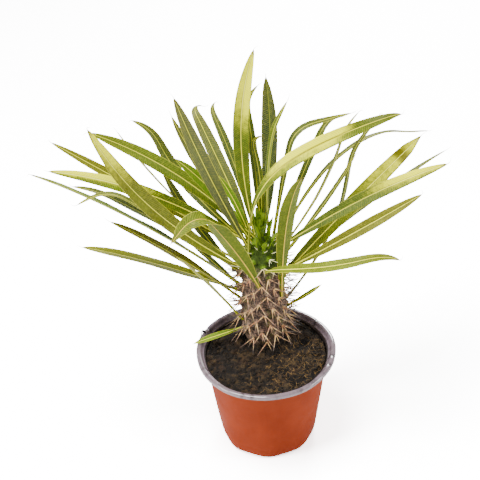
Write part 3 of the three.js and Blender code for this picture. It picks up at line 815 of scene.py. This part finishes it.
# fibres: p(u) = start + L u along + b cos(pi u) across, laid on the rough soil
def addFibres():
    count = soil["fibres"]
    radius = soil["fibreReach"] * np.sqrt(soilDraw.uniform(0.02, 1, count))
    turn = soilDraw.normal(-0.5, 0.8, count)
    x, y = radius * np.cos(turn), radius * np.sin(turn)
    way = soilDraw.uniform(0, 2 * np.pi, count)[:, None]
    length = soilDraw.uniform(3, 11, count)[:, None]
    u = np.linspace(-0.5, 0.5, 7)[None]
    bow = soilDraw.normal(0, 0.14, (count, 1)) * length * np.cos(np.pi * u)
    px = x[:, None] + u * length * np.cos(way) - bow * np.sin(way)
    py = y[:, None] + u * length * np.sin(way) + bow * np.cos(way)
    shrink = np.minimum(1, soil["crumbReach"] / np.hypot(px, py))
    px, py = px * shrink, py * shrink
    pz = soilLevel(px, py) + soilRough(px.ravel(), py.ravel()).reshape(px.shape)
    lift = 0.3 + np.abs(soilDraw.normal(0, 0.4, (count, 1))) * (0.5 + u) ** 2 * 3
    radii = soilDraw.uniform(0.08, 0.2, (count, 1)) * (1 - np.abs(u))
    points, groups = tubes(np.stack([px, py, pz + lift], -1), radii, 4)
    wire = newMaterial("peatFibre")
    colour = layered(
        soil["fibreDark"],
        (wire.attribute("tone"), soil["fibre"]),
        (wire.noise(3, 2).step(0.4, 0.7), soil["fibrePale"]))
    tone = np.repeat(soilDraw.uniform(0, 1, count), u.size * 4)
    addPiece("soil_fibres", points, groups, surface(wire, colour, 0.8), ("soil",),
             {"tone": tone})


# one leaf: the height and azimuth of its foot on the trunk, the heading and rise of its base, its
# length and its width. droop and sweep bend it evenly, and fold and turn do so near foldAt; roll
# turns it about its own line, and twist does so at the tip; a lower fullness blunts it. pale
# gives the start, end and strength of a cream part, which is painted glare, lean the half that it
# favours, the lit half of the V with painted light, and band the place of a dark band, a painted
# shadow cast by a crossing leaf; fresh, warm, grey, dark, rose and brown are shares of tones
def row(height, azimuth, heading, rise, length, width, **more):
    return dict(height=height, azimuth=azimuth, heading=heading, rise=rise, length=length,
                width=width, **more)


leafRows = {
    "leaf_01": row(157, 181, 184, 45, 226, 13, droop=15, roll=-18, dark=0.2, grey=0.05, fresh=0.3),
    "leaf_02": row(205, 176, 181, 39, 192, 12, droop=28, roll=55, pale=(0.6, 1.2, 0.75), lean=0.85),
    "leaf_03": row(178, 190, 207, 46, 236, 16, droop=-25, roll=62, pale=(0.79, 1.3, 0.8), warm=0.2,
                   dark=0.15, lean=0.35),
    "leaf_04": row(211, 187, 186, 54, 186, 13, droop=26, roll=60, dark=0.2, warm=0.1, fresh=0.25),
    "leaf_05": row(195, 169, 177, 37, 200, 9.5, droop=1, roll=45, warm=0.25, dark=0.15),
    "leaf_06": row(170, 176, 176, 40, 176, 11, droop=10, fold=18, dark=0.5),
    "leaf_07": row(182, 180, 189, 41, 178, 9, droop=-2, fold=67, foldAt=0.84, grey=0.3, dark=0.3),
    "leaf_08": row(142, 184, 184, 46, 150, 13, droop=10, warm=0.35),
    "leaf_09": row(147, 172, 174, 23, 152, 13, droop=11, warm=0.35, fresh=0.45),
    "leaf_10": row(122, 200, 200, 60, 110, 12, droop=6, roll=-10, warm=0.35, fresh=0.2),
    "leaf_11": row(167, 260, 238, 63, 165, 18, droop=5, sweep=-53, fold=110, foldAt=0.8, roll=-40,
                   rose=0.6, twist=75),
    "leaf_12": row(200, 150, 178, 48, 164, 10, droop=-31, fold=54, foldAt=0.9, roll=55, dark=0.6,
                   grey=0.1),
    "leaf_13": row(208, 203, 196, 66, 123, 10.5, droop=18, roll=70, fresh=0.75),
    "leaf_14": row(206, 138, 164, 55, 137, 8, droop=-15, roll=50, grey=0.6, dark=0.3),
    "leaf_15": row(203, 210, 213, 68, 192, 13.5, droop=-6, roll=100, grey=0.6, dark=0.1),
    "leaf_16": row(203, 121, 137, 61, 138, 12.5, droop=3, fold=115, turn=-160, foldAt=0.95, roll=30,
                   grey=0.6, dark=0.2),
    "leaf_17": row(208, 112, 120, 63, 130, 8, droop=26, fold=46, turn=-69, foldAt=0.93, roll=20,
                   dark=0.85),
    "leaf_18": row(211, 140, 170, 81, 190, 14, droop=-27, roll=80, pale=(0.66, 1.25, 1.0),
                   lean=0.25),
    "leaf_19": row(202, 88, 12, 91, 160, 7.5, droop=-7, fold=64, foldAt=0.92, roll=-75, dark=0.6,
                   fresh=0.2),
    "leaf_20": row(199, 78, 55, 76, 163, 15, droop=-24, roll=-10, dark=1),
    "leaf_21": row(207, 43, 22, 92, 137, 8, droop=21, fold=23, turn=16, foldAt=0.83, dark=0.2,
                   fresh=0.2),
    "leaf_22": row(209, 82, 10, 87, 108, 6, droop=-17, fold=175, foldAt=0.96, roll=-75, dark=0.3),
    "leaf_23": row(203, 30, 17, 80, 163, 6.5, droop=4, fold=74, foldAt=0.68, roll=-30, grey=0.3,
                   dark=0.6),
    "leaf_24": row(197, 221, 301, 85, 250, 13, droop=115, sweep=119, roll=-55,
                   pale=(0.47, 0.725, 1.0), lean=-0.5, dark=0.1, brown=1, fullness=0.95),
    "leaf_25": row(193, 40, 43, 57, 140, 7, droop=6, fold=75, foldAt=0.87, roll=-30, dark=0.8),
    "leaf_26": row(190, 12, 18, 50, 152, 6, droop=-34, fold=37, roll=10, grey=0.5, dark=0.5),
    "leaf_27": row(124.5, 30, 0, 54, 214, 6.5, droop=-47, sweep=48, fold=70, foldAt=0.82, grey=0.3,
                   dark=0.7),
    "leaf_28": row(184, 2, 4, 53, 126, 5, droop=-11, roll=-30, grey=0.4, dark=0.7),
    "leaf_29": row(198, 358, 394, 59, 214, 6.5, droop=119, fold=-36, roll=10, grey=0.4, dark=0.7),
    "leaf_30": row(162, 10, 3, 50, 187, 14.5, droop=3, roll=-60, warm=0.1, pale=(0.6, 1.2, 0.5),
                   fullness=0.4, band=0.87),
    "leaf_31": row(199, 345, 348, 41, 180, 12.5, droop=15, roll=-60, dark=0.35,
                   pale=(0.66, 1.25, 0.8), lean=-0.6),
    "leaf_32": row(157, 30, 37, 17, 220, 7, droop=14, roll=10, grey=0.2, dark=0.85),
    "leaf_33": row(173, 346, 342, 39, 163, 11, droop=-3, roll=-60, warm=0.25),
    "leaf_34": row(183, 280, 280, 41, 180, 10, droop=39, sweep=115, fold=41, roll=-30, warm=0.15,
                   fresh=0.2),
    "leaf_35": row(148, 324, 285, 83, 188, 15, droop=33, rose=0.5),
    "leaf_36": row(129, 358, 349, 36, 43, 5, droop=-11, roll=-20, fresh=0.2),
    "leaf_37": row(109, 195, 195, -6, 48, 6.5, droop=3, roll=15, fresh=0.8, warm=0.1),
    "leaf_38": row(208, 165, 170, 75, 72, 7, droop=16, roll=60, fresh=0.8),
    "leaf_39": row(196, 120, 130, 62, 90, 11, roll=20, dark=0.6),
    "leaf_40": row(180, 150, 153, 33, 165, 6.5, droop=-22, roll=-40, grey=0.4, dark=0.6),
    "leaf_41": row(150, 168, 165, 45, 68, 9),
    "leaf_42": row(158, 155, 169, 52, 137, 10, droop=-20, roll=30, dark=0.7),
}

# short new leaves around the bud
sideLeafRows = {
    "side_leaf_1": row(208, 275, 205, 74, 27, 5, roll=60),
    "side_leaf_2": row(209, 308, 340, 80, 30, 5, droop=6, roll=-50),
    "side_leaf_3": row(206, 250, 262, 71, 20, 6, droop=6),
    "side_leaf_4": row(205, 308, 325, 68, 24, 6, droop=8, roll=-30),
    "side_leaf_5": row(204, 280, 282, 62, 18, 6),
}


leafBlade = dict(
    vee=14,                                      # degrees from flat to each half blade
    petioleHalf=1.7, petioleThick=2.7, petioleSunk=2,
    middle=0.95, margin=0.34,                    # thickness at the rib and at the edge
    spans=58, across=8, youngSpans=24, tuftSpans=22, youngAcross=5,
    threadLength=7.0, threadRadius=0.24, threadSides=5,
    olive=rgb(136, 157, 50), oliveDeep=rgb(108, 133, 40), baseGreen=rgb(92, 126, 24),
    darkGreen=rgb(80, 104, 62), freshGreen=rgb(142, 184, 48), greyGreen=rgb(148, 148, 116),
    underside=rgb(136, 152, 54), gold=rgb(188, 166, 70), dry=rgb(112, 98, 66),
    glareCream=rgb(255, 252, 178), shadeBand=rgb(112, 104, 24), paleVein=rgb(196, 186, 92),
    rib=rgb(226, 224, 146), paleRib=rgb(250, 246, 200), roseRib=rgb(222, 192, 128),
    ribBrown=rgb(92, 62, 16), brownLine=rgb(138, 112, 44),
)

youngBlade = dict(
    green=rgb(118, 156, 20), greenPale=rgb(168, 188, 40), base=rgb(72, 104, 20),
    rib=rgb(198, 210, 90), tip=rgb(132, 110, 60),
)

# the bud at the top, and the tuft's leaves on it, whose feet lie at two distances from its middle
bud = dict(
    height=213, radius=3.1, halfHeight=4.9, rings=18, sides=28,
    feetHeight=214.5, feetNear=1.6, feetFar=2.4,
    # heading, rise, length, width
    leaves=((208, 66, 25, 4), (245, 80, 34, 4.4), (265, 68, 26, 3.8), (290, 74, 31, 4),
            (318, 70, 25, 3.8), (345, 76, 29, 3.8), (180, 80, 24, 3.8), (95, 84, 22, 3.8)),
)

leafDraw = np.random.default_rng(5)


# the share of the fold and turn done at t, over a short stretch around foldAt
def leafBent(leaf, t):
    foldAt = leaf.get("foldAt", 0.88)
    return smoothStep(foldAt - 0.12, foldAt + 0.12, t)


# way and lift along a leaf: the heading and rise, changed by droop and sweep with t^1.5 and by
# the fold and turn with the share bent
def leafBearings(leaf, t):
    bent = leafBent(leaf, t)
    lift = leaf["rise"] - leaf.get("droop", 0) * t ** 1.5 - leaf.get("fold", 0) * bent
    way = leaf["heading"] + leaf.get("sweep", 0) * t ** 1.5 + leaf.get("turn", 0) * bent
    return np.radians(way), np.radians(lift)


# stations close up where the leaf bends: t is taken evenly by t + extra x bent
def leafTimes(leaf, spans):
    fine = np.linspace(0, 1, 600)
    extra = min(0.5, math.hypot(leaf.get("fold", 0), leaf.get("turn", 0)) / 250)
    measure = fine + extra * leafBent(leaf, fine)
    return np.interp(np.linspace(0, measure[-1], spans + 1), measure, fine)


# the leaf's middle line: the running sum of its direction from its base, read off at times t
def leafPath(leaf, base, t):
    fine = np.linspace(0, 1, 1201)
    way, lift = leafBearings(leaf, (fine[1:] + fine[:-1]) / 2)
    line = np.concatenate([np.zeros((1, 3)), np.cumsum(direction(way, lift), 0)])
    line = line * leaf["length"] / 1200
    return base + np.stack([np.interp(t, fine, line[:, k]) for k in range(3)], -1)


# half width: 0.5 w (4 a (1 - a))^fullness with a = t^1.3, never less than the petiole, pointed at
# the tip; a lower fullness gives a blunter tip
def leafHalf(leaf, t):
    a = t ** 1.3
    half = 0.5 * leaf["width"] * np.maximum(4 * a * (1 - a), 0) ** leaf.get("fullness", 0.7)
    half = np.maximum(half, np.where(t < 0.5, leafBlade["petioleHalf"], 0))
    return np.minimum(half, 0.3 * (1 - t) * leaf["length"] + 0.22)


# a leaf's base: 0.6 mm off the bark at its height and azimuth
def leafBase(leaf):
    out = direction(math.radians(leaf["azimuth"]), 0.0)
    base = out * (trunkRadius(leaf["height"]) + 0.6)
    return base + np.array([0, trunk["setBack"], leaf["height"]]), out


# a leaf's skin: at each station a ring runs over the top from left to right and back beneath;
# the section is a V softened at the rib, thick in the middle and thin at the wavy margin
def leafSkin(leaf, base, inwards, spans, sides, small=False):
    t = leafTimes(leaf, spans)
    centre = leafPath(leaf, base, t)
    way, lift = leafBearings(leaf, t)
    along = direction(way, lift)
    roll = leaf.get("roll", 0) + leaf.get("twist", 0) * smoothStep(0.62, 0.86, t)
    up = turnedAbout(along, direction(way, lift + np.pi / 2), -np.radians(roll)[:, None])
    side = np.cross(along, up)
    half = leafHalf(leaf, t)
    # the petiole's foot, sunk in the bark and a little wider
    centre = np.concatenate([[centre[0] - 1.5 * along[0] + inwards], centre])
    t, along, up, side = (np.concatenate([each[:1], each]) for each in (t, along, up, side))
    half = np.concatenate([[half[0] * 1.5, half[0] * 1.15], half[1:]])

    # down the leaf the values are columns, and across it, from -1 to 1, they are a row
    t, width = t[:, None], half[:, None]
    run = t * leaf["length"]
    blade = smoothStep(0.03, 0.16, t)
    a = np.linspace(0, 1, sides + 1) ** 1.25
    a = np.concatenate([-a[:0:-1], a])
    out = np.abs(a)
    across = out * width
    shift, size = leafDraw.uniform(0, 2 * np.pi, 4), leafDraw.uniform(0.7, 1.4, 4)
    waves = [0.32 * np.sin(run / (9 * size[k]) + shift[k])
             + 0.3 * np.sin(run / (21 * size[k + 1]) + shift[k + 1]) for k in (0, 2)]
    wave = np.where(a < 0, *waves) * out ** 2.2 * blade
    wave *= np.minimum(width / 5, 1) * (0.4 if small else 1)
    vee = math.tan(math.radians(leafBlade["vee"])) * blade
    fold = vee * width * (np.sqrt(a ** 2 + 0.02) - 0.141) * 1.06
    # faint quilting between the side veins, over the top only
    quilt = 0.05 * np.sin((run + across * 0.7) * 2 * np.pi / 4.2) * np.sin(np.pi * out)
    rib = 0.75 - 0.5 * t
    groove = -0.2 * blade * np.exp(-(across / (0.8 * rib)) ** 2)
    keel = 0.55 * (blade * (1 - 0.7 * t)) * np.exp(-(across / rib) ** 2)
    share = 0.5 if small else 1
    margin = leafBlade["margin"]
    plate = margin + (leafBlade["middle"] * share - margin) * (1 - out) ** 0.8
    stalk = leafBlade["petioleThick"] * share * np.sqrt(np.maximum(1 - a ** 2, 0.02))
    thick = (blade * plate + (1 - blade) * stalk) * np.minimum(1, width / 1.2 + 0.15)
    top = fold + wave + thick / 2 + groove + quilt * blade
    low = fold + wave - thick / 2 - keel * np.minimum(1, width / 2)

    heights = np.concatenate([top, low[:, ::-1]], 1)
    places = np.concatenate([a, a[::-1]]) * width
    points = (centre[:, None] + places[..., None] * side[:, None]
              + heights[..., None] * up[:, None])
    # the cream part is painted glare, strongest between its start and end
    start, end, strength = leaf.get("pale", (0, 0, 0))
    paintedGlare = strength * smoothStep(start - 0.2, start + 0.2, t) * (
        1 - smoothStep(end - 0.07, end + 0.07, t))
    # painted light: lean makes the lit half of the V paler still
    paintedGlare = paintedGlare * (1 + leaf.get("lean", 0) * np.tanh(places / 1.5))
    numbers = dict(upper=np.repeat([1.0, 0.0], len(a)), acrossMm=places,
                   ribMm=rib * (0.45 if small else 1), runMm=run, t=t,
                   edgeMm=width - np.abs(places), pale=paintedGlare)
    numbers = {key: np.broadcast_to(value, heights.shape).ravel()
               for key, value in numbers.items()}
    tip = (centre[-1], along[-1], up[-1])
    return points.reshape(-1, 3), skinFaces(*heights.shape), numbers, tip


# a dry bristle at the tip: p(u) turns from along towards bend at an even rate
def tipThread(tip, along, up, length, radius):
    turn = leafDraw.uniform(-2.2, 2.2)
    spin = leafDraw.uniform(0, 2 * np.pi)
    bend = turnedAbout(along, up, spin)
    u = np.linspace(0, 1, 7)
    middle = (u[1:] + u[:-1]) / 2
    steps = np.cos(turn * middle)[:, None] * along + np.sin(turn * middle)[:, None] * bend
    path = np.concatenate([np.zeros((1, 3)), np.cumsum(steps, 0)]) * length / len(middle)
    path = tip - 0.8 * along + path
    return tubes(path[None], (radius * (1 - 0.7 * u))[None], leafBlade["threadSides"])


leafLook = ("fresh", "warm", "grey", "dark", "rose", "brown")


# leathery green in each leaf's own tones, with a pale rib, side veins, cream parts of painted glare
# and a painted shadow band
def leafMaterial():
    wire = newMaterial("leatheryLeaf")
    fresh, warm, grey, dark, rose, brown = (wire.attribute(look) for look in leafLook)
    t, upper, pale = wire.attribute("t"), wire.attribute("upper"), wire.attribute("pale")
    run, edge = wire.attribute("runMm"), wire.attribute("edgeMm")
    across = abs(wire.attribute("acrossMm"))
    fromRib = across / wire.attribute("ribMm")
    patch = wire.noise(16, 3)
    mottle = wire.noise(2.2, 3, 0.6)
    # side veins leave the rib at a steep angle and bow forwards
    phase = ((run + across * 0.62 + patch * 1.5) * (1 / 2.1)).fraction()
    vein = (abs(phase - 0.5) * 2).step(0.24, 0.02) * across.step(0.3, 1.2)
    # pale parts, which are painted glare, are streaky and stay greener at the margin and between
    # the veins
    streak = wire.noise(3.2, 4, 0.65, (1, 1, 1), 0.5)
    drift = ((wire.noise(7, 3) - 0.5) * 0.7 + (streak - 0.5) * 0.7 + vein * 0.16
             - edge.step(1.6, 0.1) * 0.45)
    glareHere = (pale * 1.25 + drift * pale.step(0.02, 0.35)).step(0.1, 1.1)
    beside = fromRib.step(0.9, 1.3) * fromRib.step(2.8, 1.3)
    hue = leafBlade
    veinColour = glareHere.blend(hue["rib"], hue["paleVein"])
    besideColour = glareHere.blend(hue["oliveDeep"], hue["brownLine"])
    ribColour = layered(
        hue["rib"],
        (rose, hue["roseRib"]),
        (glareHere, brown.blend(hue["paleRib"], hue["ribBrown"])))
    colour = layered(
        hue["olive"],
        (patch.step(0.3, 0.7), hue["oliveDeep"]),
        (fresh, hue["freshGreen"]),
        (warm, hue["gold"]),
        (grey, hue["greyGreen"]),
        (dark, hue["darkGreen"]),
        (t.step(0.6, 1.05) * 0.12, hue["gold"]),            # yellower towards the tip
        ((1 - upper) * 0.45, hue["underside"]),
        (mottle.step(0.45, 0.75) * 0.12, hue["rib"]),
        (t.step(0.42, 0.08) * 0.4, hue["baseGreen"]),       # deeper towards the trunk
        (across.step(2.6, 0.4) * 0.3, hue["oliveDeep"]),    # lighter towards the margin
        # cream parts: painted glare
        (glareHere * 0.93, hue["glareCream"]),
        (vein * (glareHere * 0.22 + 0.2), veinColour),
        (edge.step(0.45, 0.1) * 0.4, hue["rib"]),
        (beside * (glareHere * 0.35 + 0.3), besideColour),
        # painted shadow band, where a crossing leaf's shadow falls across the blade
        (wire.attribute("band") * 0.85, hue["shadeBand"]),
        (fromRib.step(1.0, 0.55) * (0.95 - dark * 0.7), ribColour),
        ((t + (mottle - 0.5) * 0.06).step(0.955, 1.0) * 0.85, hue["dry"]))
    rough = patch * 0.12 + upper * -0.08 + 0.46
    height = vein * -0.5 + wire.noise(0.9, 2, 0.6) * 0.18 + mottle * 0.25
    return surface(wire, colour, rough, height, 0.2, Specular_IOR_Level=0.12)


# the youngest leaves: bright green, darker at the base with painted shade where the leaves crowd,
# paler along a fine rib, dry at the tip
def youngMaterial():
    wire = newMaterial("tenderLeaf")
    t, fromRib = wire.attribute("t"), abs(wire.attribute("acrossMm")) / wire.attribute("ribMm")
    colour = layered(
        youngBlade["green"],
        (wire.noise(5, 3).step(0.35, 0.65), youngBlade["greenPale"]),
        # painted shade at the base, where the tuft's leaves crowd
        (t.step(0.4, 0.0) * 0.55, youngBlade["base"]),
        (fromRib.step(1.2, 0.5) * 0.45, youngBlade["rib"]),
        (t.step(0.93, 1.0) * 0.7, youngBlade["tip"]))
    return surface(wire, colour, 0.45, wire.noise(0.8, 2), 0.1, Specular_IOR_Level=0.2)


# one blade with its bristle, as a piece that stands for its own node
def addLeaf(name, leaf, material, spans, sides, small=False):
    base, out = leafBase(leaf)
    points, groups, numbers, tip = leafSkin(
        leaf, base, -leafBlade["petioleSunk"] * out, spans, sides, small)
    length = leafBlade["threadLength"] * leafDraw.uniform(0.6, 1.15) * min(1, leaf["length"] / 120)
    thread, threadGroups = tipThread(*tip, length, leafBlade["threadRadius"])
    numbers = {key: np.concatenate([value, np.full(len(thread), value[-1])])
               for key, value in numbers.items()}
    numbers.update({key: leaf.get(key, 0.0) for key in leafLook})
    far = (numbers["t"] - leaf.get("band", 9)) / 0.035   # no band without its place
    numbers["band"] = np.exp(-far ** 4)
    points, groups = joined([(points, groups), (thread, threadGroups)])
    addPiece(name + "_blade", points, groups, material, (name,), numbers)


# every long leaf, then the side leaves and the tuft
def addLeaves():
    material = leafMaterial()
    for name, leaf in leafRows.items():
        addLeaf(name, leaf, material, leafBlade["spans"], leafBlade["across"])
    young = youngMaterial()
    for name, leaf in sideLeafRows.items():
        addLeaf(name, leaf, young, leafBlade["youngSpans"],
                leafBlade["youngAcross"], small=True)
    addYoungLeaves(young)


# the tuft's leaves, with still younger ones between them close to the bud, and the bud itself:
# an ellipsoid (r sin a, h cos a) whose radius has five shallow lobes
def addYoungLeaves(material):
    smallest = [(heading, 74 + 6 * (k % 2), 15 + 4 * (k % 3), 3)
                for k, heading in enumerate(range(12, 360, 33))]
    parts, collected = [], []
    for reach, rows in ((bud["feetNear"], bud["leaves"]), (bud["feetFar"], smallest)):
        for heading, rise, length, width in rows:
            foot = reach * direction(math.radians(heading), 0.0)
            points, groups, numbers, _ = leafSkin(
                dict(heading=heading, rise=rise, length=length, width=width),
                np.array([0, trunk["setBack"], bud["feetHeight"]]) + foot, np.zeros(3),
                leafBlade["tuftSpans"], leafBlade["youngAcross"], small=True)
            parts.append((points, groups))
            collected.append(numbers)
    tilt = np.linspace(0.02, np.pi - 0.02, bud["rings"])[::-1]
    angles, tilts = spread(turns(bud["sides"]), tilt)
    radius = bud["radius"] * (1 + 0.06 * np.sin(5 * angles))
    points = around(radius * np.sin(tilts), angles,
                    bud["height"] + bud["halfHeight"] * np.cos(tilts), trunk["setBack"])
    parts.append((points, skinFaces(bud["rings"], bud["sides"])))
    plain = dict(upper=1.0, acrossMm=4.0, ribMm=0.5, runMm=4.0, t=0.3, edgeMm=3.0, pale=0.0)
    collected.append({key: np.full(len(points), value) for key, value in plain.items()})
    numbers = {key: np.concatenate([each[key] for each in collected]) for key in plain}
    points, groups = joined(parts)
    addPiece("young_leaf_tuft", points, groups, material, ("young_leaves",), numbers)


# a thorn is kept where all of it clears the soil, the lip of the pot and every leaf
def thornIsFree(paths):
    spots = paths[:, 2:]
    x, y, z = np.moveaxis(spots, -1, 0)
    free = (z > soilLevel(x, y) + 0.8).all(1)
    free &= ~((z < pot["height"] + 2) & (np.hypot(x, y) > pot["rimRadius"] - 10)).any(1)
    for leaf in [*leafRows.values(), *sideLeafRows.values()]:
        t = np.linspace(0, 0.75, 90)
        line = leafPath(leaf, leafBase(leaf)[0], t)
        reach = leafHalf(leaf, t) * 0.35 + 0.4
        apart = np.linalg.norm(spots[:, :, None] - line, axis=-1) - reach
        free &= apart.min((1, 2)) > 0
    return free


addSoil()
addFibres()
print("soil is made")

addTrunk()
addThorns()
print("trunk and thorns are made")

addLeaves()
print("leaves are made")
